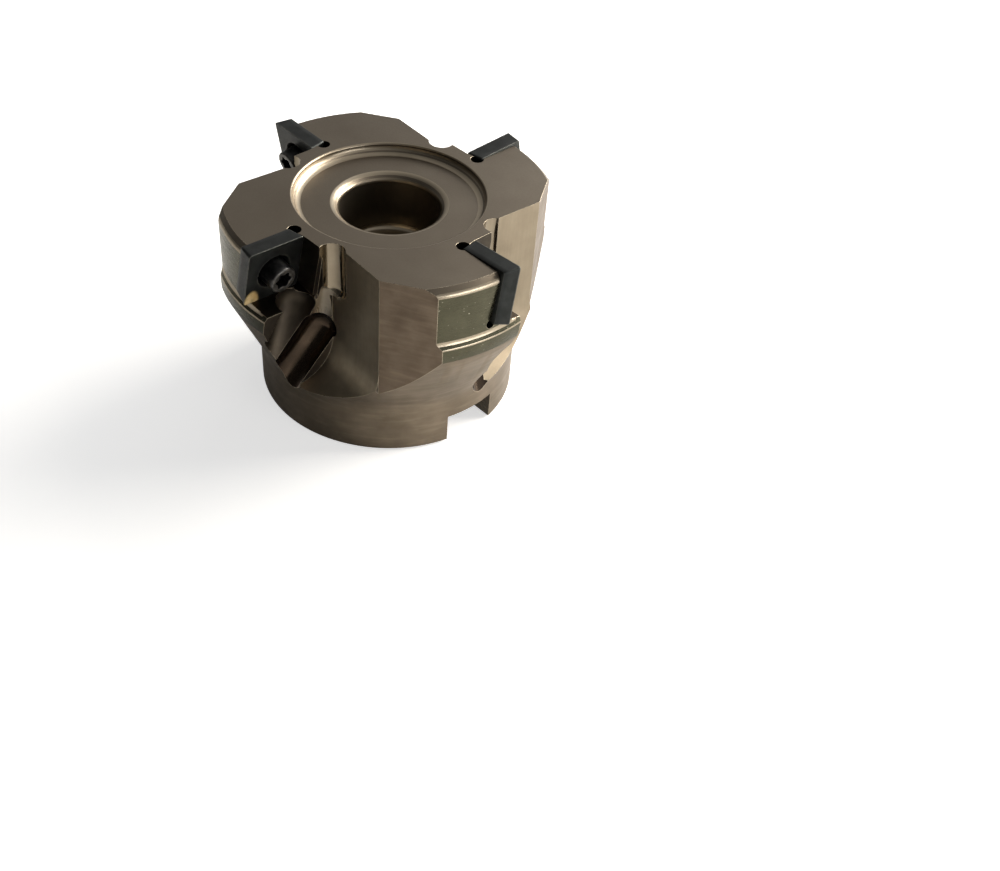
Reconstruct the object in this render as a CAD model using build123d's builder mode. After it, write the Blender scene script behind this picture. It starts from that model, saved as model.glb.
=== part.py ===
"""Indexable shell-type milling cutter, 63 mm, with four screwed square inserts.

Frame: millimetres, +Z up. The origin is the centre of the back face that seats
on the arbor shoulder, +Z runs along the cutter axis to the cutting face, and the
drive key slot runs along X.
"""
from build123d import *
from math import cos, pi, radians, sin, tan
import os

os.makedirs("parts", exist_ok=True)

# Driving dimensions of the body, mm and degrees
cutter_diameter = 63.0        # over the lower outer corners of the inserts
cutter_length = 40.0          # back face to the highest insert corner
tooth_count = 4
key_to_tooth = 4.0            # key slot line to the first insert corner
hub_diameter = 48.0
hub_height = 10.4             # straight part of the hub
hub_blend = 9.0               # hub into the cone above it
lip_inset = 0.9               # collar below the inserts, inside their lower corners
lip_height = 2.6
flank_inset = 1.5             # land behind the inserts, inside their lower corners
ledge_gap = 0.5               # foot of that land below the insert's own height
ledge_drop = 1.0              # the ledge slopes down from there to the collar
face_chamfer = 1.1
insert_stand = 0.6            # highest insert corner above the body face
recess_diameter = 34.0
recess_depth = 1.9
recess_foot = 0.9             # slope between the recess's wall and floor
bore_chamfer = 1.0

# Arbor seat, after the usual 22 mm shell mill arbor
arbor_diameter = 22.0
arbor_seat_depth = 20.0
arbor_mouth_chamfer = 0.6
clamp_hole_diameter = 11.0
counterbore_diameter = 18.0
counterbore_floor = 26.2      # height of the clamping screw's seat
key_slot_width = 10.4
key_slot_depth = 5.9
key_slot_chamfer = 0.4
back_chamfer = 0.5

# Chip gullets
gullet_wall = 16.9            # cutter axis to the chip wall
gullet_wall_lean = 7.4
gullet_floor_radius = 11.0
gullet_floor_height = 20.0    # where the chip wall turns into the floor
gullet_front = 4.3            # chip space ahead of the rake face
gullet_land = 0.4             # narrow land between insert pocket and chip wall
heel_distance = 25.75         # cutter axis to the heel facet
heel_angle = 59.5             # heel facet normal, behind the insert corner line
flute_radius = 2.3
flute_inset = 19.5            # cutter axis line to the flute's axis
flute_ahead = 6.7
flute_depth = 10.7            # upper polished flute, below the cutting face

# Ball-nosed grooves of a gullet, their points measured inward, up and ahead
# of the highest insert corner in the rake frame
groove_start = (11.4, -8.9, 7.1)      # on the chip wall, below the flute and as wide
groove_turn = (12.0, -17.6, 6.1)      # in the gullet's corner, where it turns outward
groove_end = (2.9, -33.4, 5.4)        # out through the hub
groove_edge = (5.0, -24.0, 4.3)       # on its outer edge, near the end
exit_radius = 3.2                     # of the groove past its turn
scoop_radius = 3.8                    # below the insert, down the tooth's front
scoop_start = (8.2, -12.6, 3.5)
scoop_end = (1.2, -29.8, 9.3)

# Inserts and their screws
insert_size = 11.0
insert_thickness = 3.2
insert_nose = 0.5
insert_clearance = 11.0
insert_seat_nose = 0.3        # corners of the insert's under face
insert_mouth = 6.6            # coned mouth of the insert hole, the screw head's seat
insert_bore = 4.0
axial_rake = 11.0
radial_rake = 2.7
face_tilt = 2.5               # inner end of the face edge lower than the corner
relief_radius = 1.2
corner_relief = 0.9
corner_relief_height = 0.3    # its axis above the insert's lower corner
screw_thread = 3.5
screw_length = 6.5            # below the seat
thread_clearance = 0.05
tapped_spare = 1.0            # hole deeper than the screw
screw_head_diameter = 5.0
screw_head_stand = 2.7        # head above the rake face
screw_head_chamfer = 0.35
head_cone_angle = 60.0
socket_points = 6
socket_size = 3.3             # over the points of the star-shaped socket
socket_waist = 2.5
socket_depth = 1.8

# Derived radii and heights
hub_radius = hub_diameter / 2
lip_radius = cutter_diameter / 2 - lip_inset
flank_radius = cutter_diameter / 2 - flank_inset
recess_radius = recess_diameter / 2
arbor_radius = arbor_diameter / 2
clamp_radius = clamp_hole_diameter / 2
counterbore_radius = counterbore_diameter / 2
face_height = cutter_length - insert_stand
recess_floor = face_height - recess_depth
ledge_height = cutter_length - insert_size - ledge_gap
lip_top = ledge_height - ledge_drop
lip_bottom = lip_top - lip_height
clear = cutter_diameter       # reach of the cutting solids past the body

# Rake plane of the first insert: x inward, y up the insert, z ahead of the cut
corner_radius = cutter_diameter / 2 - insert_size * sin(radians(face_tilt))
rake_inward = Vector(-1, tan(radians(radial_rake)), -tan(radians(face_tilt)))
rake_upward = Vector(0, sin(radians(axial_rake)), cos(radians(axial_rake)))
rake = Plane(
    origin=(corner_radius, 0, cutter_length),
    x_dir=rake_inward,
    z_dir=rake_inward.cross(rake_upward),
)
seat = rake.offset(-insert_thickness)
insert_middle = (insert_size / 2, -insert_size / 2)


def line_meet(distance_a, angle_a, distance_b, angle_b):
    """Where two lines cross, each given by its distance from the axis and its normal's angle."""
    across = sin(radians(angle_b - angle_a))
    x = (distance_a * sin(radians(angle_b)) - distance_b * sin(radians(angle_a))) / across
    y = (distance_b * cos(radians(angle_a)) - distance_a * cos(radians(angle_b))) / across
    return (x, y)


# Plan of one gullet: pocket side, chip wall, then the heel facet of the next tooth
pitch = 360 / tooth_count
heel_normal = pitch - heel_angle
pocket_wall = corner_radius - insert_size
heel_low = line_meet(gullet_wall, -gullet_wall_lean, heel_distance, heel_normal)
heel_high = line_meet(heel_distance, heel_normal, lip_radius, pitch)
flute_bottom = face_height - flute_depth
land_end = flute_ahead - flute_radius
exit_start, exit_end, exit_edge = (
    rake.from_local_coords(point) for point in (groove_turn, groove_end, groove_edge)
)
corner_slope = Plane(
    origin=exit_start,
    x_dir=exit_end - exit_start,
    z_dir=(exit_edge - exit_start).cross(exit_end - exit_start),
)
lower_wall_start, upper_wall_start = (
    line_meet(gullet_wall, -gullet_wall_lean, y, 90) for y in (land_end, flute_ahead)
)
wall_foot = (clear, heel_low[1] - (clear - heel_low[0]) * tan(radians(gullet_wall_lean)))


def gullet_plan(height, wall_start):
    """Plan of a gullet at a height: pocket side, start of the chip wall, next tooth's heel."""
    with BuildSketch(Plane.XY.offset(height)) as plan:
        with BuildLine():
            Polyline(
                (pocket_wall - gullet_land, -clear),
                (pocket_wall - gullet_land, land_end),
                wall_start,
                heel_low,
                wall_foot,
                (clear, -clear),
                close=True,
            )
        make_face()
    return plan.sketch


with BuildPart() as gullet:
    extrude(gullet_plan(gullet_floor_height, lower_wall_start), amount=flute_bottom - gullet_floor_height)
    # Rounded floor that runs out through the hub
    with BuildSketch(Plane(
        origin=(*heel_low, gullet_floor_height),
        x_dir=(0, 0, 1),
        z_dir=(sin(radians(gullet_wall_lean)), cos(radians(gullet_wall_lean)), 0),
    )):
        with Locations((0, gullet_floor_radius)):
            Circle(gullet_floor_radius)
            Rectangle(
                2 * gullet_floor_radius,
                2 * gullet_floor_radius,
                align=(Align.MAX, Align.CENTER),
                mode=Mode.INTERSECT,
            )
    extrude(amount=-clear)
    # Sloped corner between the tooth's front and the floor, with the exit groove along it
    split(bisect_by=corner_slope, keep=Keep.TOP)
    # Beside the flute another sloped corner is left between the land and the chip wall
    extrude(gullet_plan(flute_bottom, upper_wall_start), amount=clear)
    split(bisect_by=rake.offset(gullet_front), keep=Keep.TOP)

with BuildPart() as heel_cut:
    with BuildSketch():
        with BuildLine():
            Polyline(heel_low, heel_high, (clear, heel_high[1]), wall_foot, close=True)
        make_face()
    extrude(amount=clear)

with BuildPart() as flutes:
    # Upper polished flute, a plunge of a ball-nosed cutter beside the insert
    with Locations((flute_inset, flute_ahead, flute_bottom + flute_radius)):
        Sphere(flute_radius)
    with BuildSketch(Plane.XY.offset(flute_bottom + flute_radius)):
        with Locations((flute_inset, flute_ahead)):
            Circle(flute_radius)
    extrude(amount=clear / 2)
    # Paths of ball-nosed cutters through the gullet's corner and over the tooth's front
    for radius, start, end in (
        (flute_radius, groove_start, groove_turn),
        (exit_radius, groove_turn, groove_end),
        (scoop_radius, scoop_start, scoop_end),
    ):
        near, far = rake.from_local_coords(start), rake.from_local_coords(end)
        with Locations(near):
            Sphere(radius)
        with BuildSketch(Plane(origin=near, z_dir=far - near)):
            Circle(radius)
        extrude(amount=(far - near).length)

with BuildPart() as pocket:
    # Space for the insert, its side walls sloped as the insert's own sides
    with BuildSketch(rake) as opening:
        with Locations((insert_size, -insert_size)):
            Rectangle(2 * insert_size, 2 * insert_size, align=(Align.MAX, Align.MIN))
    extrude(amount=-insert_thickness, taper=insert_clearance)
    # Chip space straight ahead of it
    extrude(opening.sketch, amount=gullet_front)
    # Round reliefs where seat and side walls meet, and at the inner lower corner
    with BuildSketch(Plane(
        origin=seat.from_local_coords((insert_size, -insert_size, relief_radius / 2)),
        x_dir=seat.x_dir,
        z_dir=seat.y_dir,
    )):
        Circle(relief_radius)
    extrude(amount=2 * insert_size)
    with BuildSketch(Plane(
        origin=seat.from_local_coords(
            (insert_size, corner_relief_height - insert_size, corner_relief_height)
        ),
        x_dir=seat.y_dir,
        z_dir=-seat.x_dir,
    )):
        Circle(corner_relief)
    extrude(amount=2 * insert_size)
    with BuildSketch(seat):
        with Locations((insert_size, -insert_size)):
            Circle(corner_relief)
    extrude(amount=insert_thickness + gullet_front)
    # Tapped hole for the insert screw
    with BuildSketch(seat):
        with Locations(insert_middle):
            Circle(screw_thread / 2 + thread_clearance)
    extrude(amount=-(screw_length + tapped_spare))


def corner_at(radius, height):
    """Corner of the turned profile at a radius and height."""
    return vertices().sort_by_distance((radius, height))[0]


with BuildPart() as body:
    with BuildSketch(Plane.XZ):
        with BuildLine():
            Polyline(
                (clamp_radius, arbor_seat_depth),
                (arbor_radius, arbor_seat_depth),
                (arbor_radius, arbor_mouth_chamfer),
                (arbor_radius + arbor_mouth_chamfer, 0),
                (hub_radius - back_chamfer, 0),
                (hub_radius, back_chamfer),
                (hub_radius, hub_height),
                (lip_radius, lip_bottom),
                (lip_radius, lip_top),
                (flank_radius, ledge_height),
                (flank_radius, face_height - face_chamfer),
                (flank_radius - face_chamfer, face_height),
                (recess_radius, face_height),
                (recess_radius, recess_floor),
                (counterbore_radius + bore_chamfer, recess_floor),
                (counterbore_radius, recess_floor - bore_chamfer),
                (counterbore_radius, counterbore_floor),
                (clamp_radius, counterbore_floor),
                close=True,
            )
        make_face()
        fillet(corner_at(hub_radius, hub_height), hub_blend)
        chamfer(corner_at(recess_radius, recess_floor), recess_foot)
    revolve(axis=Axis.Z)
    with PolarLocations(0, tooth_count, start_angle=key_to_tooth):
        for cut in (gullet, heel_cut, flutes, pocket):
            add(cut.part, mode=Mode.SUBTRACT)
    with BuildSketch(Plane.YZ):
        with BuildLine():
            Polyline(
                (-key_slot_width / 2 - key_slot_chamfer, 0),
                (-key_slot_width / 2, key_slot_chamfer),
                (-key_slot_width / 2, key_slot_depth),
                (key_slot_width / 2, key_slot_depth),
                (key_slot_width / 2, key_slot_chamfer),
                (key_slot_width / 2 + key_slot_chamfer, 0),
                close=True,
            )
        make_face()
    extrude(amount=clear, both=True, mode=Mode.SUBTRACT)
body.part.label = "cutter_body"
export_step(body.part, "parts/cutter_body.step")

head_rise = tan(radians(90 - head_cone_angle / 2))
cone_bottom = (insert_mouth - insert_bore) / 2 * head_rise
screw_axis = Plane(
    origin=rake.from_local_coords((*insert_middle, 0)),
    x_dir=rake.x_dir,
    z_dir=rake.y_dir,
)

with BuildPart() as insert:
    under_size = insert_size - 2 * insert_thickness * tan(radians(insert_clearance))
    for level, size, nose in ((rake, insert_size, insert_nose), (seat, under_size, insert_seat_nose)):
        with BuildSketch(level):
            with Locations(insert_middle):
                RectangleRounded(size, size, nose)
    loft()
    # Coned screw hole
    with BuildSketch(screw_axis):
        with BuildLine():
            Polyline(
                (0, 0),
                (insert_mouth / 2, 0),
                (insert_bore / 2, cone_bottom),
                (insert_bore / 2, insert_thickness),
                (0, insert_thickness),
                close=True,
            )
        make_face()
    revolve(axis=Axis(screw_axis.origin, rake.z_dir), mode=Mode.SUBTRACT)

with BuildPart() as screw:
    cone_start = (insert_mouth - screw_head_diameter) / 2 * head_rise
    cone_end = cone_start + (screw_head_diameter - screw_thread) / 2 * head_rise
    with BuildSketch(screw_axis):
        with BuildLine():
            Polyline(
                (0, -screw_head_stand),
                (screw_head_diameter / 2 - screw_head_chamfer, -screw_head_stand),
                (screw_head_diameter / 2, screw_head_chamfer - screw_head_stand),
                (screw_head_diameter / 2, cone_start),
                (screw_thread / 2, cone_end),
                (screw_thread / 2, insert_thickness + screw_length),
                (0, insert_thickness + screw_length),
                close=True,
            )
        make_face()
    revolve(axis=Axis(screw_axis.origin, rake.z_dir))
    # Star-shaped socket
    star = []
    for corner in range(2 * socket_points):
        reach = (socket_size, socket_waist)[corner % 2] / 2
        turn = pi * corner / socket_points
        star.append((reach * cos(turn), reach * sin(turn)))
    with BuildSketch(rake.offset(screw_head_stand)):
        with Locations(insert_middle):
            Polygon(*star, align=None)
    extrude(amount=-socket_depth, mode=Mode.SUBTRACT)

for number in range(tooth_count):
    for name, part in (("insert", insert.part), ("insert_screw", screw.part)):
        placed = part.rotate(Axis.Z, key_to_tooth + number * pitch)
        placed.label = f"{name}_{number + 1}"
        export_step(placed, f"parts/{placed.label}.step")
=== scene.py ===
"""Looks of the indexable shell milling cutter: plated steel body, coated carbide inserts, blackened screws.

Lengths in the tables are millimetres and angles degrees; the scene itself is in metres.
"""

from math import cos, degrees, pi, radians, sin, tan

import bmesh
import bpy
import numpy as np
from mathutils import Matrix, Vector


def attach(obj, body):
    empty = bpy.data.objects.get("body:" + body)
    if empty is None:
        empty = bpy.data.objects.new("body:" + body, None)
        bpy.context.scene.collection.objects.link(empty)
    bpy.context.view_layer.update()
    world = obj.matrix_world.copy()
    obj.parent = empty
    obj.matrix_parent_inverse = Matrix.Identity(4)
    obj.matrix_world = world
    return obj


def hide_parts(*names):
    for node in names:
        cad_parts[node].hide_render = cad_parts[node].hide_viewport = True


MM = 0.001

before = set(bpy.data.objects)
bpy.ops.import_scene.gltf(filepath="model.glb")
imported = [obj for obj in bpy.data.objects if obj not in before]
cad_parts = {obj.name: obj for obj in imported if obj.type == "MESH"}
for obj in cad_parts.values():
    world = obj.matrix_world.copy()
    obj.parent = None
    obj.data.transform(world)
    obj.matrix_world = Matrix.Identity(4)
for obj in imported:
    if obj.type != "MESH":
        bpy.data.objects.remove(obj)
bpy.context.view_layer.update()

# Inserts and their screws
TOOTH_COUNT = 4
FIRST_TOOTH = 4.0                      # angle of the first insert corner from the key slot line
LIT_PATCH_TOOTH = 4                       # the one insert with a painted patch of light on its rake face
CUTTING_RADIUS = 31.5
CUTTING_HEIGHT = 40.0
AXIAL_RAKE = 11.0
RADIAL_RAKE = 2.7
FACE_TILT = 2.5
INSERT_SIZE = 11.0
INSERT_THICKNESS = 3.2
INSERT_NOSE = 0.5
SEAT_NOSE = 0.3
INSERT_CLEARANCE = 11.0
INSERT_HONE = 0.07
INSERT_MOUTH = 6.6
INSERT_BORE = 4.0
SCREW_HEAD = 5.0
SCREW_HEAD_STAND = 2.7
SCREW_HEAD_ROUND = 0.35
SCREW_THREAD = 3.5
SCREW_END = 9.7                        # below the rake face
SOCKET_SIZE, SOCKET_WAIST, SOCKET_DEPTH, SOCKET_LOBES = 3.3, 2.5, 1.8, 6
CONE_RISE = tan(radians(60.0))         # depth of the screw's cone for each millimetre of radius
THREAD_PITCH = 0.6
THREAD_DEPTH = 0.22

# Cuts of the body, which its finishes and its rounded rims are placed by
FACE_HEIGHT = 39.4
FACE_CHAMFER = 1.1
FLANK_RADIUS = 30.0
LEDGE_HEIGHT = 28.5
COLLAR_RADIUS = 30.6
COLLAR_BOTTOM = 24.9
COLLAR_TOP = 27.5
GROUND_RADIUS = 29.0                   # the ground band lies outside this radius
GROUND_HEIGHT = 36.0                   # the middle of its highest face is below this, and the chamfer's above
RECESS_RADIUS = 17.0
RECESS_FOOT = 0.9
RECESS_FLOOR = 37.5
COUNTERBORE_RADIUS = 9.0
BORE_CHAMFER = 1.0
SEAT_HEIGHT = 26.2                     # floor of the counterbore
WALL_FACING, WALL_DISTANCE = -7.4, 16.9
WALL_BEND, WALL_BEND_HEIGHT = 11.0, 20.0
HEEL_FACING, HEEL_DISTANCE = 30.5, 25.75

# Rims that are rounded: radius, height and width of the round
WIDEST_ROUND = 1.0
ROUNDED_RIMS = (
    (RECESS_RADIUS, FACE_HEIGHT, 0.3),
    (RECESS_RADIUS, RECESS_FLOOR + RECESS_FOOT, 0.42),
    (RECESS_RADIUS - RECESS_FOOT, RECESS_FLOOR, 0.5),
    (COUNTERBORE_RADIUS + BORE_CHAMFER, RECESS_FLOOR, 0.5),
    (COUNTERBORE_RADIUS, RECESS_FLOOR - BORE_CHAMFER, 0.4),
    (COUNTERBORE_RADIUS, SEAT_HEIGHT, WIDEST_ROUND),
    (FLANK_RADIUS, LEDGE_HEIGHT, 0.4),
    (COLLAR_RADIUS, COLLAR_TOP, 0.16),
    (FLANK_RADIUS, FACE_HEIGHT - FACE_CHAMFER, 0.5),
)
EDGE_WEAR_AND_HIGHLIGHT_WIDTH = 0.05
SHARP_ANGLE = 28.0

CAMERA_TURN = 43.054


def unit(vector):
    """A vector divided by its length."""
    return np.asarray(vector, float) / np.linalg.norm(vector)


# Rake frame of the first tooth: along the edge inward, up the insert, ahead of the cut
RAKE_INWARD = (-1.0, tan(radians(RADIAL_RAKE)), -tan(radians(FACE_TILT)))
RAKE_UPWARD = (0.0, sin(radians(AXIAL_RAKE)), cos(radians(AXIAL_RAKE)))
AHEAD = unit(np.cross(RAKE_INWARD, RAKE_UPWARD))
INWARD = unit(RAKE_INWARD)
UPWARD = np.cross(AHEAD, INWARD)
CORNER = (CUTTING_RADIUS - INSERT_SIZE * sin(radians(FACE_TILT)), 0.0, CUTTING_HEIGHT)


def rake_point(inward, upward, ahead):
    """Points of the first tooth, from its highest insert corner.

    Each is corner + inward * i + upward * u + ahead * a, with i, u and a the directions of the rake frame.
    """
    steps = np.stack(np.broadcast_arrays(inward, upward, ahead), axis=-1).astype(float)
    return np.array(CORNER) + steps @ np.array((INWARD, UPWARD, AHEAD))


def turn(points, angle):
    """Points turned about the cutter axis: x' = x cos a - y sin a, y' = x sin a + y cos a."""
    c, s = cos(radians(angle)), sin(radians(angle))
    return np.asarray(points) @ np.array([[c, s, 0], [-s, c, 0], [0, 0, 1]])


def tooth_angle(number):
    """Angle of an insert's corner from the key slot line; the teeth are numbered from one."""
    return FIRST_TOOTH + (number - 1) * 360 / TOOTH_COUNT


def new_object(name, data):
    """An object of a mesh, lamp or camera, in the scene."""
    thing = bpy.data.objects.new(name, data)
    bpy.context.scene.collection.objects.link(thing)
    return thing


# Colours and nodes

def colour(code):
    """Linear colour of an sRGB hex code: v / 12.92 below 0.04045, else ((v + 0.055) / 1.055) ** 2.4."""
    values = np.array([int(code[i:i + 2], 16) for i in (1, 3, 5)]) / 255
    linear = np.where(values <= 0.04045, values / 12.92, ((values + 0.055) / 1.055) ** 2.4)
    return (*linear, 1.0)


def add(tree, kind, inputs=None, **settings):
    """Adds a node. Inputs are values or sockets by the name or number of the input they go to.

    A Mix of colours has its factor at 0 and the colours at 6 and 7. A MapRange has its value at 0, the range
    it comes from at 1 and 2, and the one it goes to at 3 and 4, which is 0 to 1 unless it is given.
    """
    node = tree.nodes.new("ShaderNode" + kind)
    for name, value in settings.items():
        setattr(node, name, value)
    for name, value in (inputs or {}).items():
        if isinstance(value, bpy.types.NodeSocket):
            tree.links.new(value, node.inputs[name])
        else:
            node.inputs[name].default_value = value
    return node


def new_material(name):
    """An empty material, its nodes and its object coordinates."""
    material = bpy.data.materials.new(name)
    material.use_nodes = True
    tree = material.node_tree
    tree.nodes.clear()
    return material, tree, add(tree, "TexCoord").outputs["Object"]


def grain(tree, place, size, detail=3.0, seed=0.0):
    """Even noise with grains of about a size in millimetres; the seed moves it elsewhere."""
    moved = add(tree, "Mapping", {"Vector": place, "Location": (seed * MM, seed * MM, 0.0)}).outputs[0]
    noise = add(tree, "TexNoise", {"Vector": moved, "Scale": 1 / (size * MM), "Detail": detail})
    return noise.outputs["Fac"]


def streaks(tree, place, width, length, lean=0.0):
    """Noise drawn out to a width and length in millimetres, upright unless it leans about the y axis."""
    size = [v * MM for v in (width, width, length)]
    shaped = add(tree, "Mapping", {"Vector": place, "Rotation": (0.0, radians(lean), 0.0), "Scale": size},
                 vector_type="TEXTURE").outputs[0]
    return add(tree, "TexNoise", {"Vector": shaped, "Scale": 1.0, "Detail": 3.0}).outputs["Fac"]


# Radius, in millimetres, at which a pattern round the cutter has the length that it is given
PATTERN_RADIUS = 25


def around(tree, place, width, length, outward=1.0):
    """Noise drawn out round the cutter axis, as turning and wiping leave it.

    It is read at (angle * pattern radius / length, (height + radius * outward) / width).
    """
    parts = add(tree, "SeparateXYZ", {"Vector": place})
    angle = add(tree, "Math", {0: parts.outputs["Y"], 1: parts.outputs["X"]}, operation="ARCTAN2")
    run = add(tree, "Math", {0: angle.outputs[0], 1: PATTERN_RADIUS / length}, operation="MULTIPLY")
    flat = add(tree, "CombineXYZ", {"X": parts.outputs["X"], "Y": parts.outputs["Y"]})
    reach = add(tree, "VectorMath", {0: flat.outputs[0]}, operation="LENGTH").outputs["Value"]
    level = add(tree, "Math", {0: reach, 1: outward, 2: parts.outputs["Z"]}, operation="MULTIPLY_ADD")
    climb = add(tree, "Math", {0: level.outputs[0], 1: 1 / (width * MM)}, operation="MULTIPLY")
    spot = add(tree, "CombineXYZ", {"X": run.outputs[0], "Y": climb.outputs[0]})
    return add(tree, "TexNoise", {"Vector": spot.outputs[0], "Scale": 1.0, "Detail": 3.0}).outputs["Fac"]


def specks(tree, place):
    """Sparse specks, the peaks of a grain of half a millimetre."""
    return grain(tree, place, 0.5, 1.0, 31.0)


def wipes(tree, place):
    """Soft strokes of wiping round the cutter, a millimetre wide and about 7 mm long."""
    return around(tree, place, 1.0, 7.0, 0.35)


def shade(tree, tint, metallic, gloss, relief, depth):
    """Ends a material with its shader, whose bump has a depth in millimetres."""
    bump = add(tree, "Bump", {"Height": relief, "Strength": 1.0, "Distance": depth * MM}).outputs[0]
    shader = add(tree, "BsdfPrincipled", {"Base Color": tint, "Metallic": metallic, "Roughness": gloss,
                                          "Normal": bump})
    add(tree, "OutputMaterial", {"Surface": shader.outputs[0]})


# Noise seldom leaves the middle value by more than this
NOISE_REACH = 0.16


def metal(name, light, dark, rough, marks, depth, patch, contrast=1.0, over=None):
    """A plated or cut steel finish.

    light and dark are its two shades, in patches of a size in millimetres; marks(tree, place) gives the tool
    marks, depth their height in millimetres, and rough the least and most roughness across them. over is what
    lies on top: its colour, its share, the noise levels where it starts and is full, and its pattern.
    """
    material, tree, place = new_material(name)
    low, high = 0.5 - NOISE_REACH / contrast, 0.5 + NOISE_REACH / contrast
    cloud = add(tree, "MapRange", {0: grain(tree, place, patch, 4.0), 1: low, 2: high}).outputs[0]
    lines = marks(tree, place)
    tint = add(tree, "Mix", {0: cloud, 6: colour(dark), 7: colour(light)}, data_type="RGBA").outputs[2]
    worked = add(tree, "MapRange", {0: lines, 1: 0.35, 2: 0.65, 4: 0.2}).outputs[0]
    tint = add(tree, "Mix", {0: worked, 6: tint, 7: colour(dark)}, data_type="RGBA").outputs[2]
    if over:
        code, most, start, full, pattern = over
        lying = add(tree, "MapRange", {0: pattern(tree, place), 1: start, 2: full, 4: most}).outputs[0]
        tint = add(tree, "Mix", {0: lying, 6: tint, 7: colour(code)}, data_type="RGBA").outputs[2]
    across = add(tree, "MapRange", {0: lines, 1: 0.3, 2: 0.7, 3: rough[0], 4: rough[1]}).outputs[0]
    patchy = add(tree, "MapRange", {0: cloud, 3: 0.04, 4: -0.03}).outputs[0]
    gloss = add(tree, "Math", {0: across, 1: patchy}, operation="ADD").outputs[0]
    shade(tree, tint, 1.0, gloss, lines, depth)
    return material


# Real turning, milling and grinding lines lie 0.05 to 0.1 mm apart, about a pixel of the render, and the grain
# of the plate is finer. So the marks are drawn 0.3 to 1.2 mm wide, as coarse as they need to be to show.
finishes = {finish.name: finish for finish in (
    # Satin nickel plate on a finely turned steel face: an even warm grey sheen with hardly a ring to be seen
    metal("satin_nickel_turned_face", "#776E61", "#6A6155", (0.35, 0.43),
          lambda t, p: grain(t, p, 0.3), depth=0.0016, patch=11.0, contrast=0.8),
    # The same plate on the turned hub and cone, which hands hold: clouded, with pale soft strokes of wiping
    metal("handled_nickel_hub", "#8A7D6D", "#726758", (0.36, 0.46),
          lambda t, p: around(t, p, 1.2, 8.0), depth=0.0015, patch=6.0, contrast=0.75,
          over=("#A59984", 0.25, 0.52, 0.75, wipes)),
    # Nickel plate on the milled chip wall and gullet floor: paler, with faint upright streaks of the mill
    metal("milled_nickel_gullet", "#9C907C", "#857967", (0.34, 0.45),
          lambda t, p: streaks(t, p, 0.6, 7.0), depth=0.002, patch=7.0, contrast=0.8),
    # Plated heel facet, milled coarser and rubbed in use: brown and mottled, with pale strokes along it
    metal("rubbed_heel_facet", "#7C6E5F", "#695C4F", (0.38, 0.48),
          lambda t, p: around(t, p, 0.5, 4.0, 0.0), depth=0.0018, patch=3.5, contrast=0.7,
          over=("#9C8B76", 0.22, 0.5, 0.72, wipes)),
    # Steel flute beside the insert, ball-nosed and polished by chips: a near mirror with faint upright lines
    metal("chip_polished_flute", "#9A8F7D", "#847968", (0.1, 0.17),
          lambda t, p: streaks(t, p, 0.5, 5.0), depth=0.0015, patch=4.0, contrast=0.8),
    # Groove below it, left as ball-nosed and brushed by chips, with a softer sheen: its pale base colour
    # paints the highlight along it
    metal("side_groove_painted_highlight", "#D2C6B2", "#BEB29F", (0.26, 0.36),
          lambda t, p: streaks(t, p, 0.4, 4.0), depth=0.0015, patch=4.0, contrast=0.8),
    # Ball-nosed groove where the chips run out: polished steel whose dark brown base paints the dark
    # reflection it shows, so dark and glossy
    metal("dark_reflection_exit_groove", "#5C4F43", "#3F362E", (0.12, 0.2),
          lambda t, p: streaks(t, p, 0.6, 6.0, lean=35.0), depth=0.001, patch=5.0, contrast=0.6),
    # Scoop below the insert, ball-nosed and left as milled: matt, with a dark base colour that paints the
    # shade in its hollow
    metal("scoop_painted_shade", "#4B443B", "#3D3730", (0.34, 0.46),
          lambda t, p: grain(t, p, 0.5), depth=0.004, patch=4.0),
    # Flank band, ledge and collar, ground round: glossier than the turned plate, and olive with pale dots
    metal("ground_flank_band", "#5D5B4B", "#504E40", (0.22, 0.3),
          lambda t, p: around(t, p, 0.5, 4.0), depth=0.0015, patch=5.0, contrast=0.9,
          over=("#C9C3AE", 0.5, 0.72, 0.78, specks)),
    # Chamfers and rims cut by a sharp turning tool, with hardly any line: their pale base colour paints the
    # highlights along the rims
    metal("turned_rim_painted_highlight", "#A99D8A", "#958A78", (0.28, 0.34),
          lambda t, p: around(t, p, 0.4, 8.0), depth=0.0003, patch=6.0, contrast=0.6),
    # Ground bore: smooth steel, darker under a film of oil
    metal("ground_arbor_bore", "#857B69", "#71675A", (0.24, 0.32),
          lambda t, p: around(t, p, 0.5, 12.0), depth=0.0005, patch=6.0, contrast=0.8),
    # Insert pocket, finish milled and never touched by chips: even and darker
    metal("milled_insert_pocket", "#4A4339", "#3B352E", (0.34, 0.46),
          lambda t, p: grain(t, p, 0.5), depth=0.003, patch=4.0),
    # Edges of the plate rubbed smooth by handling, a little glossier: their paler colour is partly that wear
    # and partly a painted highlight
    metal("rubbed_edge_and_highlight", "#ADA28F", "#948978", (0.24, 0.34),
          lambda t, p: grain(t, p, 0.4), depth=0.001, patch=3.0, contrast=1.2),
)}
finish_slots = {name: slot for slot, name in enumerate(finishes)}


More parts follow.
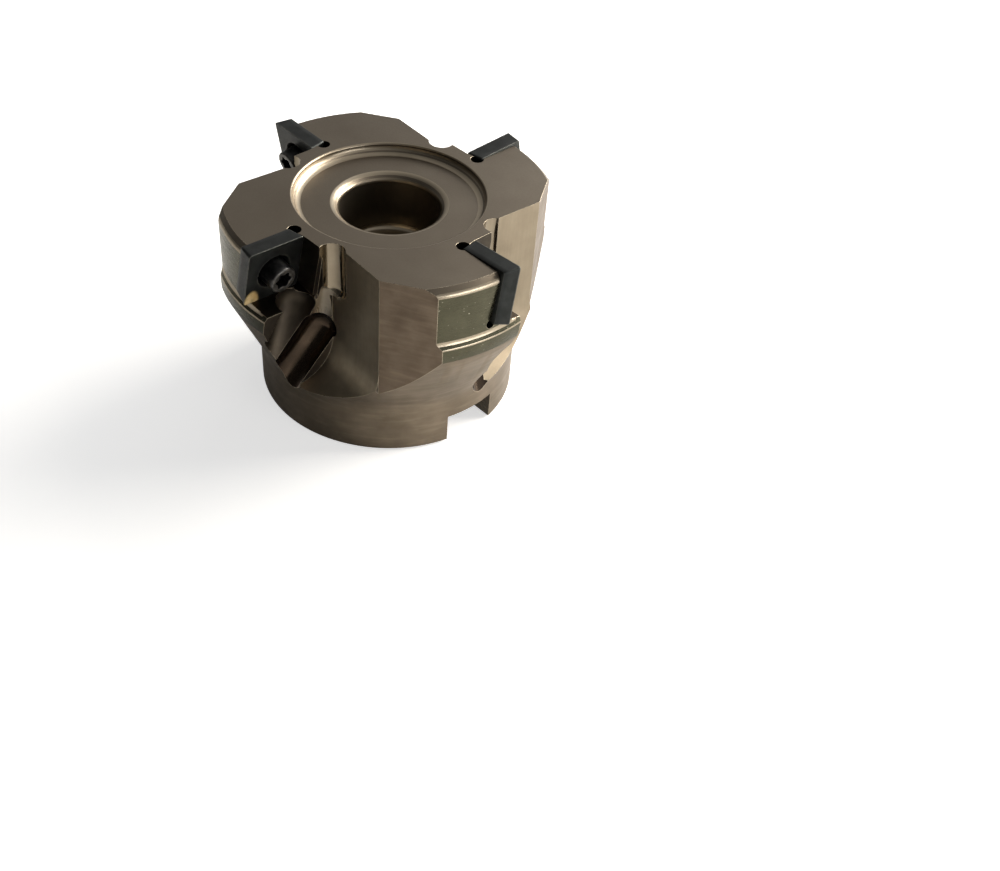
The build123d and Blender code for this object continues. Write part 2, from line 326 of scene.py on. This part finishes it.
def coated(name, light, dark, rubbed, rough, metallic, patch, light_patch_tints=None):
    """A dark coat over a lighter metal: two shades of the coat, and the metal where it is rubbed through.

    The piece's attribute "wear" is one along its edges, and noise breaks it to a third in places. With its
    two tints given, its attribute "spot" says where a painted patch of light lies on the face, in patches of
    those two colours and hardly metallic.
    """
    material, tree, place = new_material(name)
    # The coat's own grain is a few thousandths of a millimetre, so it is drawn coarser to show
    fine = grain(tree, place, 0.22, 3.0)
    cloud = add(tree, "MapRange", {0: grain(tree, place, patch, 4.0), 1: 0.38, 2: 0.62}).outputs[0]
    tint = add(tree, "Mix", {0: cloud, 6: colour(dark), 7: colour(light)}, data_type="RGBA").outputs[2]
    wear = add(tree, "Attribute", attribute_name="wear").outputs["Fac"]
    gaps = add(tree, "MapRange", {0: grain(tree, place, 0.7, 3.0, 9.0), 1: 0.3, 2: 0.7, 3: 0.35}).outputs[0]
    uneven = add(tree, "Math", {0: wear, 1: gaps}, operation="MULTIPLY").outputs[0]
    tint = add(tree, "Mix", {0: uneven, 6: tint, 7: colour(rubbed)}, data_type="RGBA").outputs[2]
    if light_patch_tints:
        # The spot is a painted patch of light on the rake face: straw-coloured and hardly metallic
        spot = add(tree, "Attribute", attribute_name="spot").outputs["Fac"]
        loose = grain(tree, place, 0.9, 3.0, 5.0)
        gaps = add(tree, "MapRange", {0: loose, 1: 0.3, 2: 0.5, 3: 0.75}).outputs[0]
        lit_patch_share = add(tree, "Math", {0: spot, 1: gaps}, operation="MULTIPLY").outputs[0]
        first, second = (colour(code) for code in light_patch_tints)
        mark = add(tree, "Mix", {0: cloud, 6: first, 7: second}, data_type="RGBA").outputs[2]
        tint = add(tree, "Mix", {0: lit_patch_share, 6: tint, 7: mark}, data_type="RGBA").outputs[2]
        metallic = add(tree, "MapRange", {0: lit_patch_share, 3: metallic, 4: 0.1}).outputs[0]
    gloss = add(tree, "MapRange", {0: fine, 1: 0.3, 2: 0.7, 3: rough[0], 4: rough[1]}).outputs[0]
    shade(tree, tint, metallic, gloss, fine, 0.003)
    return material


# Sintered tungsten carbide, ground and then coated from vapour: fine even grain, a dull near-black sheen,
# greyer along the honed edges, and a straw-coloured patch of light painted low on one rake face
hard_coated_carbide = coated("hard_coated_carbide", "#2C2E2D", "#212322", "#62635E", (0.36, 0.46), 0.85, 2.5,
                             light_patch_tints=("#C4A46C", "#E2C996"))
# Alloy steel screws, turned and blackened in hot salts: near-black and slightly oily, rubbed to grey on the
# rim and round the socket
black_oxide_screw = coated("black_oxide_screw", "#343434", "#232324", "#6E6C69", (0.28, 0.42), 0.85, 0.9)


# Surfaces on grids

def grid_faces(rows, columns, closed_rows):
    """Quads of a grid of rows, each a closed ring of columns.

    The last row meets the first one when rows are closed. A quad's corners are row * columns + column, with
    the next column and the next row counted round.
    """
    row = np.arange(rows if closed_rows else rows - 1)[:, None]
    column = np.arange(columns)[None, :]
    here, below = row * columns, (row + 1) % rows * columns
    right = (column + 1) % columns
    return np.stack([here + column, here + right, below + right, below + column], -1).reshape(-1, 4)


def signed_volume(points, triangles):
    """Sum of a . (b x c) / 6 over the triangles: above zero when they face outwards."""
    a, b, c = (points[triangles[:, i]] for i in range(3))
    return float(np.einsum("ij,ij->i", a, np.cross(b, c)).sum() / 6)


def grid_piece(name, points, closed_rows, marks, material):
    """A closed piece from a grid of rings (rows x columns x 3, millimetres), with attributes and a material.

    Open ends are closed by a fan from the mean of the end ring. marks maps attribute names to a value a point.
    """
    rows, columns, _ = points.shape
    cloud = points.reshape(-1, 3)
    quads = grid_faces(rows, columns, closed_rows)
    triangles = np.concatenate([quads[:, (0, 1, 2)], quads[:, (0, 2, 3)]])
    values = {key: np.asarray(value, float).reshape(-1) for key, value in marks.items()}
    fans = np.empty((0, 3), int)
    if not closed_rows:
        ring = np.arange(columns)
        beside = (ring + 1) % columns
        last_row = (rows - 1) * columns
        first, last = np.full(columns, len(cloud)), np.full(columns, len(cloud) + 1)
        cloud = np.vstack([cloud, points[0].mean(0), points[-1].mean(0)])
        values = {key: np.append(value, (value[0], value[-1])) for key, value in values.items()}
        fans = np.concatenate([np.stack([first, beside, ring], -1),
                               np.stack([last, last_row + ring, last_row + beside], -1)])
    if signed_volume(cloud, np.concatenate([triangles, fans])) < 0:
        quads, fans = quads[:, ::-1], fans[:, ::-1]
    mesh = bpy.data.meshes.new(name)
    mesh.from_pydata((cloud * MM).tolist(), [], quads.tolist() + fans.tolist())
    for key, value in values.items():
        mesh.attributes.new(key, "FLOAT", "POINT").data.foreach_set("value", value)
    mesh.shade_smooth()
    mesh.set_sharp_from_angle(angle=radians(30))
    mesh.materials.append(material)
    return new_object(name, mesh)


class Rings:
    """Rings about the middle of the first insert, one after another, to be joined into a grid."""

    def __init__(self, angles):
        self.angles = angles
        self.reaches, self.heights, self.wears = [], [], []

    def ring(self, reach, height, worn=0.0):
        """Adds a ring at a height above the rake face; its reach is one value, or one for each angle."""
        self.reaches.append(np.broadcast_to(reach, self.angles.shape))
        self.heights.append(height)
        self.wears.append(worn)

    def flat(self):
        """Every point before it is placed: reach * cos a across, reach * sin a up, and its height."""
        reach = np.array(self.reaches)
        height = np.broadcast_to(np.array(self.heights)[:, None], reach.shape)
        return reach * np.cos(self.angles), reach * np.sin(self.angles), height

    def placed(self):
        """Every point in the first tooth's place, half an insert inward and down from its corner."""
        across, up, height = self.flat()
        return rake_point(across + INSERT_SIZE / 2, up - INSERT_SIZE / 2, height)

    def wear(self):
        """Every point's wear."""
        return np.broadcast_to(np.array(self.wears)[:, None], (len(self.wears), len(self.angles)))


def rounded_square(size, nose, angles):
    """Distance from the middle to a rounded square's outline along each angle.

    On the flats it is half / max(|cos|, |sin|). At a corner the ray meets the circle of the nose round its
    centre c: c . d + sqrt((c . d)^2 - |c|^2 + nose^2), with d the ray's direction.
    """
    ray = np.abs(np.stack([np.cos(angles), np.sin(angles)], -1))
    half = size / 2
    flat = half / ray.max(1)
    centre = np.full(2, half - nose)
    along = ray @ centre
    corner = along + np.sqrt(np.maximum(along ** 2 - centre @ centre + nose ** 2, 0))
    at_corner = (flat[:, None] * ray).min(1) > half - nose
    return np.where(at_corner, corner, flat)


def insert_angles():
    """Angles round an insert: 40 along each flat and 6 more round each nose."""
    edge = degrees(np.arctan2(INSERT_SIZE / 2 - INSERT_NOSE, INSERT_SIZE / 2))
    quarter = np.concatenate([np.linspace(-edge, edge, 40), np.linspace(edge, 90 - edge, 8)[1:-1]])
    return np.radians(np.concatenate([quarter + 90 * k for k in range(4)]))


def insert_rings():
    """Rings of an insert's section, from the hole out over the rake face, down the side and under the seat.

    Each ring is hole * (1 - s) + outline * s along every angle, at its own height. The outline is a rounded
    square that narrows by the clearance angle towards the seat, and its top edge is honed by a quarter round.
    """
    angles = insert_angles()
    rings = Rings(angles)
    hole, bore = INSERT_MOUTH / 2, INSERT_BORE / 2
    narrow = 2 * tan(radians(INSERT_CLEARANCE))

    def outline(depth, inset=0.0):
        nose = INSERT_NOSE + (SEAT_NOSE - INSERT_NOSE) * (depth / INSERT_THICKNESS)
        return rounded_square(INSERT_SIZE - narrow * depth, nose, angles) - inset

    rings.ring(bore, -INSERT_THICKNESS)
    for share in np.linspace(0, 1, 6):
        radius = bore + (hole - bore) * share
        rings.ring(radius, -(hole - radius) * CONE_RISE, 1.0 if share == 1 else 0.0)
    rim = hole + 0.05
    for share in (0.02, *np.linspace(0.08, 0.97, 16)):
        rings.ring(rim * (1 - share) + outline(0, INSERT_HONE) * share, 0.0, 0.4 if share == 0.02 else 0.0)
    for bend in np.radians((0, 22.5, 45, 67.5, 90)):
        rings.ring(outline(0, INSERT_HONE * (1 - sin(bend))), -INSERT_HONE * (1 - cos(bend)), 1.0)
    for depth in (0.25, 0.6, 1.4, 2.2, INSERT_THICKNESS - 0.1):
        rings.ring(outline(depth), -depth)
    rings.ring(outline(INSERT_THICKNESS, 0.04), -INSERT_THICKNESS + 0.03, 0.6)
    rings.ring(outline(INSERT_THICKNESS, 0.12), -INSERT_THICKNESS, 0.2)
    for share in (0.6, 0.2):
        rings.ring(bore * (1 - share) + outline(INSERT_THICKNESS, 0.12) * share, -INSERT_THICKNESS)
    return rings


def painted_light_patch(rings):
    """The painted patch of light: one inside a dome 3.2 mm wide and 2.9 mm tall, and fading at its edge.

    It stands on the lower edge near the outer corner of the rake face, and is
    (1 - length of ((across + 4.1) / 1.6, (up + 5.5) / 2.9)) * 5, held between zero and one.
    """
    across, up, height = rings.flat()
    dome = 1.0 - np.hypot((across + 4.1) / 1.6, (up + 5.5) / 2.9)
    return np.clip(dome * 5, 0, 1) * (height > -0.1)


def screw_rings():
    """Rings of an insert screw, from the socket's floor over the head and down the thread to its end.

    A ring's radius is the plain profile, or in the socket mean + wave * cos(lobes * angle), or on the thread
    crest - depth * |2 * frac(height / pitch - angle / turn) - 1|, which is a sharp groove along a helix.
    """
    angles = np.linspace(0, 2 * pi, 72, endpoint=False)
    rings = Rings(angles)
    mean, wave = (SOCKET_SIZE + SOCKET_WAIST) / 4, (SOCKET_SIZE - SOCKET_WAIST) / 4
    lobes = mean + wave * np.cos(SOCKET_LOBES * angles)
    top, head, thread = SCREW_HEAD_STAND, SCREW_HEAD / 2, SCREW_THREAD / 2
    floor = top - SOCKET_DEPTH

    for share in (0.1, 0.45, 0.8, 0.97):
        rings.ring(lobes * share, floor - 0.25 * (1 - share))
    for height in (floor + 0.08, floor + 0.7, top - 0.3, top - 0.12):
        rings.ring(lobes, height, 0.3 if height > top - 0.2 else 0.0)
    rings.ring(lobes + 0.03, top - 0.03, 0.8)
    rings.ring(lobes + 0.1, top, 1.0)
    rings.ring((lobes + head - SCREW_HEAD_ROUND) / 2, top, 0.55)
    for bend in np.radians((0, 15, 30, 45, 60, 75, 90)):
        rings.ring(head - SCREW_HEAD_ROUND * (1 - sin(bend)), top - SCREW_HEAD_ROUND * (1 - cos(bend)),
                   1.0 - 0.5 * bend)
    cone_start = -(INSERT_MOUTH / 2 - head) * CONE_RISE
    cone_end = cone_start - (head - thread) * CONE_RISE
    for height in (1.9, 1.2, 0.4, -0.6, cone_start + 0.05):
        rings.ring(head, height)
    rings.ring(head - 0.03, cone_start - 0.04, 0.4)
    rings.ring((head + thread) / 2, (cone_start + cone_end) / 2)
    rings.ring(thread - 0.03, cone_end)
    # Thread from below the insert to the end, with about eight rings to each turn
    thread_start, thread_end = -INSERT_THICKNESS - 0.2, -SCREW_END + 0.5
    for height in np.linspace(thread_start, thread_end, 82):
        depth = THREAD_DEPTH * min(1.0, (thread_start - height) / 0.5)
        groove = depth * np.abs(2 * ((height / THREAD_PITCH - angles / (2 * pi)) % 1) - 1)
        rings.ring(thread - 0.03 - groove, height, 0.25)
    rings.ring(thread - 0.3, -SCREW_END + 0.25)
    rings.ring(thread - 0.6, -SCREW_END)
    return rings


# Bevelled copy of the body

def merged_copy(node_name, piece_name):
    """Copy of a solid's mesh with its loose triangles joined and its flat areas made single faces."""
    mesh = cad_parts[node_name].data.copy()
    mesh.materials.clear()
    shell = bmesh.new()
    shell.from_mesh(mesh)
    bmesh.ops.remove_doubles(shell, verts=shell.verts, dist=0.0005 * MM)
    bmesh.ops.dissolve_limit(shell, angle_limit=radians(0.6), verts=shell.verts, edges=shell.edges)
    shell.to_mesh(mesh)
    shell.free()
    if mesh.has_custom_normals:
        mesh.attributes.remove(mesh.attributes["custom_normal"])
    mesh.shade_smooth()
    mesh.set_sharp_from_angle(angle=radians(SHARP_ANGLE))
    mesh.name = piece_name
    return new_object(piece_name, mesh)


def face_vectors(mesh, field):
    """A vector of every face of a mesh, one row a face."""
    values = np.empty(len(mesh.polygons) * 3)
    mesh.polygons.foreach_get(field, values)
    return values.reshape(-1, 3)


def level_direction(angle):
    """Level unit vector at an angle: (cos a, sin a, 0)."""
    return np.array([cos(radians(angle)), sin(radians(angle)), 0])


def near_path(centre, normal, start, end, radius):
    """Faces on a ball-nosed cut: their distance from its path is its radius, and they face the path."""
    along = end - start
    share = np.clip((centre - start) @ along / (along @ along), 0, 1)
    to_path = start + share[:, None] * along - centre
    reach = np.linalg.norm(to_path, axis=1)
    facing = np.einsum("ij,ij->i", to_path, normal) / np.maximum(reach, 1e-9)
    return (np.abs(reach - radius) < 0.12) & (facing > 0.9)


# Upright flat cuts of a tooth: facing, distance from the axis, finish
FLAT_CUTS = (
    (WALL_FACING, WALL_DISTANCE, "milled_nickel_gullet"),
    (HEEL_FACING, HEEL_DISTANCE, "rubbed_heel_facet"),
)
# Ball-nosed cuts of a tooth: start and end of the path, radius, finish
SIDE_GROOVE_FOOT = rake_point(12.0, -17.6, 6.1)
BALL_CUTS = (
    (rake_point(11.4, -8.9, 7.1), SIDE_GROOVE_FOOT, 2.3, "side_groove_painted_highlight"),
    (SIDE_GROOVE_FOOT, rake_point(2.9, -33.4, 5.4), 3.2, "dark_reflection_exit_groove"),
    (rake_point(8.2, -12.6, 3.5), rake_point(1.2, -29.8, 9.3), 3.8, "scoop_painted_shade"),
    (np.array([19.5, 6.7, 31.0]), np.array([19.5, 6.7, 60.0]), 2.3, "chip_polished_flute"),
)


def dress_body(piece):
    """Gives each face of the body the finish of the cut that made it.

    A turned face is one whose normal has no part round the axis: |nx y - ny x| / radius is near zero.
    """
    mesh = piece.data
    for finish in finishes.values():
        mesh.materials.append(finish)
    centre, normal = face_vectors(mesh, "center") / MM, face_vectors(mesh, "normal")
    radius = np.hypot(centre[:, 0], centre[:, 1])
    height = centre[:, 2]
    outward = np.einsum("ij,ij->i", centre[:, :2], normal[:, :2]) / radius
    turned = np.abs(normal[:, 0] * centre[:, 1] - normal[:, 1] * centre[:, 0]) / radius < 0.04
    inside = radius < RECESS_RADIUS + 0.2
    choice = np.full(len(centre), finish_slots["milled_insert_pocket"])

    def put(name, mask):
        choice[mask] = finish_slots[name]

    put("satin_nickel_turned_face", turned)
    put("handled_nickel_hub", turned & (outward > 0.02) & (height < COLLAR_BOTTOM + 0.1) & ~inside)
    put("handled_nickel_hub", (height < 0.5) & ~inside)
    put("ground_flank_band", turned & (outward > 0.3) & (radius > GROUND_RADIUS)
        & (height > COLLAR_BOTTOM) & (height < GROUND_HEIGHT))
    put("ground_arbor_bore", inside & (height < SEAT_HEIGHT - 0.05))
    # The counterbore's seat and chamfer take the rim finish, whose pale colour paints their highlight
    put("turned_rim_painted_highlight", inside & turned & (height > SEAT_HEIGHT - 1) & (height < SEAT_HEIGHT + 0.1))
    for number in range(1, TOOTH_COUNT + 1):
        angle = tooth_angle(number)
        at, facing = turn(centre, -angle), turn(normal, -angle)
        for side, distance, name in FLAT_CUTS:
            out = level_direction(side)
            put(name, (facing @ out > 0.999) & (np.abs(at @ out - distance) < 0.05))
        # The gullet's floor is part of a cylinder that turns the chip wall outward
        off_wall = at @ level_direction(WALL_FACING) - WALL_DISTANCE
        off_bend = np.hypot(off_wall - WALL_BEND, height - WALL_BEND_HEIGHT) - WALL_BEND
        upward = facing[:, 2] > 0
        put("milled_nickel_gullet", upward & (np.abs(off_bend) < 0.1) & (height < WALL_BEND_HEIGHT))
        for start, end, ball, name in BALL_CUTS:
            put(name, near_path(at, facing, start, end, ball))
    mesh.polygons.foreach_set("material_index", choice.astype(np.int32))
    mesh.update()


def edge_ends(mesh):
    """Both ends of every edge in millimetres."""
    points = np.empty(len(mesh.vertices) * 3)
    mesh.vertices.foreach_get("co", points)
    ends = np.empty(len(mesh.edges) * 2, int)
    mesh.edges.foreach_get("vertices", ends)
    return points.reshape(-1, 3)[ends.reshape(-1, 2)] / MM


def weight_rims(mesh):
    """Weights the edges along the rounded rims by the width of their round over the widest one."""
    ends = edge_ends(mesh)
    radius, height = np.hypot(ends[..., 0], ends[..., 1]), ends[..., 2]
    weight = np.zeros(len(ends))
    for rim_radius, rim_height, width in ROUNDED_RIMS:
        on_rim = (np.abs(radius - rim_radius) < 0.03) & (np.abs(height - rim_height) < 0.02)
        weight[on_rim.all(1)] = width / WIDEST_ROUND
    mesh.attributes.new("bevel_weight_edge", "FLOAT", "EDGE").data.foreach_set("value", weight)


def bevel(piece, name, width, finish, **settings):
    """A bevel of a width in millimetres, whose strips get a finish."""
    strip = piece.modifiers.new(name, "BEVEL")
    settings.update(width=width * MM, material=finish_slots[finish], use_clamp_overlap=False)
    for setting, value in settings.items():
        setattr(strip, setting, value)


body_shell = merged_copy("cutter_body", "body_shell")
dress_body(body_shell)
weight_rims(body_shell.data)
# The rounded rims' strips take the rim finish and its painted highlight
bevel(body_shell, "rounded_rims", WIDEST_ROUND, "turned_rim_painted_highlight", segments=4, limit_method="WEIGHT")
# Every other edge has a narrow strip where handling has rubbed it, paler both as wear and as a painted
# highlight
bevel(body_shell, "rubbed_and_highlit_edges", EDGE_WEAR_AND_HIGHLIGHT_WIDTH, "rubbed_edge_and_highlight", segments=2, limit_method="ANGLE",
      angle_limit=radians(SHARP_ANGLE), harden_normals=True)
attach(body_shell, "root")
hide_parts("cutter_body")

insert_shape, screw_shape = insert_rings(), screw_rings()
for number in range(1, TOOTH_COUNT + 1):
    angle = tooth_angle(number)
    # One insert carries the painted patch of light in its attribute spot
    insert_marks = {"wear": insert_shape.wear(), "spot": painted_light_patch(insert_shape) * (number == LIT_PATCH_TOOTH)}
    insert = grid_piece(f"carbide_insert_{number}", turn(insert_shape.placed(), angle), True, insert_marks,
                        hard_coated_carbide)
    screw = grid_piece(f"lobed_screw_{number}", turn(screw_shape.placed(), angle), False,
                       {"wear": screw_shape.wear()}, black_oxide_screw)
    for piece, node, slot in ((insert, f"insert_{number}", "insert"),
                              (screw, f"insert_screw_{number}", "insert_screw")):
        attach(piece, "root")
        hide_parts(node)


# Floor, lights and camera

def from_camera(right, away, up):
    """A place given in metres to the right of the camera's line of sight, away from the camera, and up."""
    a = radians(CAMERA_TURN)
    return (right * cos(a) - away * sin(a), right * sin(a) + away * cos(a), up)


def ray_kind(tree, names):
    """One where the ray is of any of the named kinds."""
    path = add(tree, "LightPath")
    kind = path.outputs[names[0]]
    for name in names[1:]:
        kind = add(tree, "Math", {0: kind, 1: path.outputs[name]}, operation="MAXIMUM").outputs[0]
    return kind


SEEN_RAYS = ["Is Camera Ray"]
MIRRORED_RAYS = ["Is Glossy Ray", "Is Transmission Ray"]


def pale_floor():
    """A wide plain floor of matt paper, 6 m across.

    It glows where it is seen: by 0.6 near the cutter, which leaves its shadow, and by 1.0 from 1.2 m outward.
    In the metal it glows by a quarter at the right of the cutter and not at the left.
    """
    mesh = bpy.data.meshes.new("pale_floor")
    mesh.from_pydata([(-3.0, -3.0, 0), (3.0, -3.0, 0), (3.0, 3.0, 0), (-3.0, 3.0, 0)], [], [(0, 1, 2, 3)])
    floor = new_object("pale_floor", mesh)
    material, tree, place = new_material("matt_white_paper")
    paper = add(tree, "Mix", {0: grain(tree, place, 40.0), 6: colour("#F4F4F2"), 7: colour("#FAFAF9")},
                data_type="RGBA").outputs[2]
    matte = add(tree, "BsdfDiffuse", {"Color": paper})
    outward = add(tree, "VectorMath", {0: place}, operation="LENGTH").outputs["Value"]
    pale = add(tree, "MapRange", {0: outward, 1: 0.15, 2: 1.2, 3: 0.6, 4: 1.0}).outputs[0]
    seen = add(tree, "Math", {0: ray_kind(tree, SEEN_RAYS), 1: pale}, operation="MULTIPLY")
    right = add(tree, "VectorMath", {0: place, 1: from_camera(1.0, 0.3, 0.0)},
                operation="DOT_PRODUCT").outputs["Value"]
    pale_side = add(tree, "MapRange", {0: right, 1: -0.02, 2: 0.06, 4: 0.25}).outputs[0]
    mirrored = add(tree, "Math", {0: ray_kind(tree, MIRRORED_RAYS), 1: pale_side}, operation="MULTIPLY")
    glow = add(tree, "Math", {0: seen.outputs[0], 1: mirrored.outputs[0]}, operation="ADD")
    lit = add(tree, "Emission", {"Color": colour("#FFFFFF"), "Strength": glow.outputs[0]})
    both = add(tree, "AddShader", {0: matte.outputs[0], 1: lit.outputs[0]})
    add(tree, "OutputMaterial", {"Surface": both.outputs[0]})
    mesh.materials.append(material)


def soft_light(name, place, size, power, tint):
    """A rectangular soft light that faces the cutter's middle, at a place as from_camera takes it."""
    lamp = bpy.data.lights.new(name, "AREA")
    lamp.shape = "RECTANGLE"
    lamp.size, lamp.size_y = size
    lamp.energy = power
    lamp.color = colour(tint)[:3]
    holder = new_object(name, lamp)
    holder.location = from_camera(*place)
    holder.rotation_mode = "QUATERNION"
    to_cutter = Vector((0.0, 0.0, 0.02)) - holder.location
    holder.rotation_quaternion = to_cutter.to_track_quat("-Z", "Y")


def plain_studio():
    """World: white to the camera, and to the metal a room, pale on the lit side and dim opposite."""
    world = bpy.data.worlds.new("plain_studio")
    bpy.context.scene.world = world
    world.use_nodes = True
    tree = world.node_tree
    tree.nodes.clear()
    shown = add(tree, "Background", {"Color": colour("#FFFFFF"), "Strength": 1.0}).outputs[0]
    ambient = add(tree, "Background", {"Color": colour("#FFFFFF"), "Strength": 0.15}).outputs[0]
    way = add(tree, "TexCoord").outputs["Generated"]
    lit_side = from_camera(cos(radians(35)), sin(radians(35)), 0.0)
    share = add(tree, "VectorMath", {0: way, 1: lit_side}, operation="DOT_PRODUCT").outputs["Value"]
    strength = add(tree, "MapRange", {0: share, 1: -0.9, 2: 1.0, 3: 0.04, 4: 0.7}).outputs[0]
    room = add(tree, "Background", {"Color": colour("#FFFDFA"), "Strength": strength}).outputs[0]
    unseen = add(tree, "MixShader", {0: ray_kind(tree, MIRRORED_RAYS), 1: ambient, 2: room}).outputs[0]
    mixed = add(tree, "MixShader", {0: ray_kind(tree, SEEN_RAYS), 1: unseen, 2: shown}).outputs[0]
    add(tree, "OutputWorld", {"Surface": mixed})


def photo_camera():
    """Camera at the photograph's viewing angle: elevation, roll and distance about a point beside the cutter.

    Its right and up are the level ones turned by the roll: right' = right cos r + up sin r, and
    up' = up cos r - right sin r.
    """
    elevation, roll, distance = radians(42.475), radians(5.492), 258.296 * MM
    aim = Vector((23.256, 0, -15.519)) * MM
    right = Vector((1, 0, 0))
    back = Vector((0, -cos(elevation), sin(elevation)))
    up = back.cross(right)
    rolled_right = cos(roll) * right + sin(roll) * up
    rolled_up = cos(roll) * up - sin(roll) * right
    eye = aim + back * distance
    pose = Matrix((
        (rolled_right.x, rolled_up.x, back.x, eye.x),
        (rolled_right.y, rolled_up.y, back.y, eye.y),
        (rolled_right.z, rolled_up.z, back.z, eye.z),
        (0, 0, 0, 1),
    ))
    lens = bpy.data.cameras.new("photo_camera")
    lens.lens = 45.456
    lens.sensor_width = 36
    lens.clip_start, lens.clip_end = 0.01, 20
    camera = new_object("photo_camera", lens)
    camera.matrix_world = Matrix.Rotation(radians(CAMERA_TURN), 4, "Z") @ pose
    bpy.context.scene.camera = camera


pale_floor()
# Lights: place in metres, size in metres, power in watts, colour
soft_light("window_light", (0.52, 0.33, 0.28), (0.6, 0.45), 11.0, "#FFF9F0")
soft_light("right_light", (0.55, -0.38, 0.07), (0.35, 0.1), 1.2, "#FFFFFF")
soft_light("back_light", (0.3, 0.6, 0.5), (0.6, 0.4), 1.0, "#FFFFFF")
plain_studio()
photo_camera()
bpy.context.scene.view_settings.view_transform = "Standard"
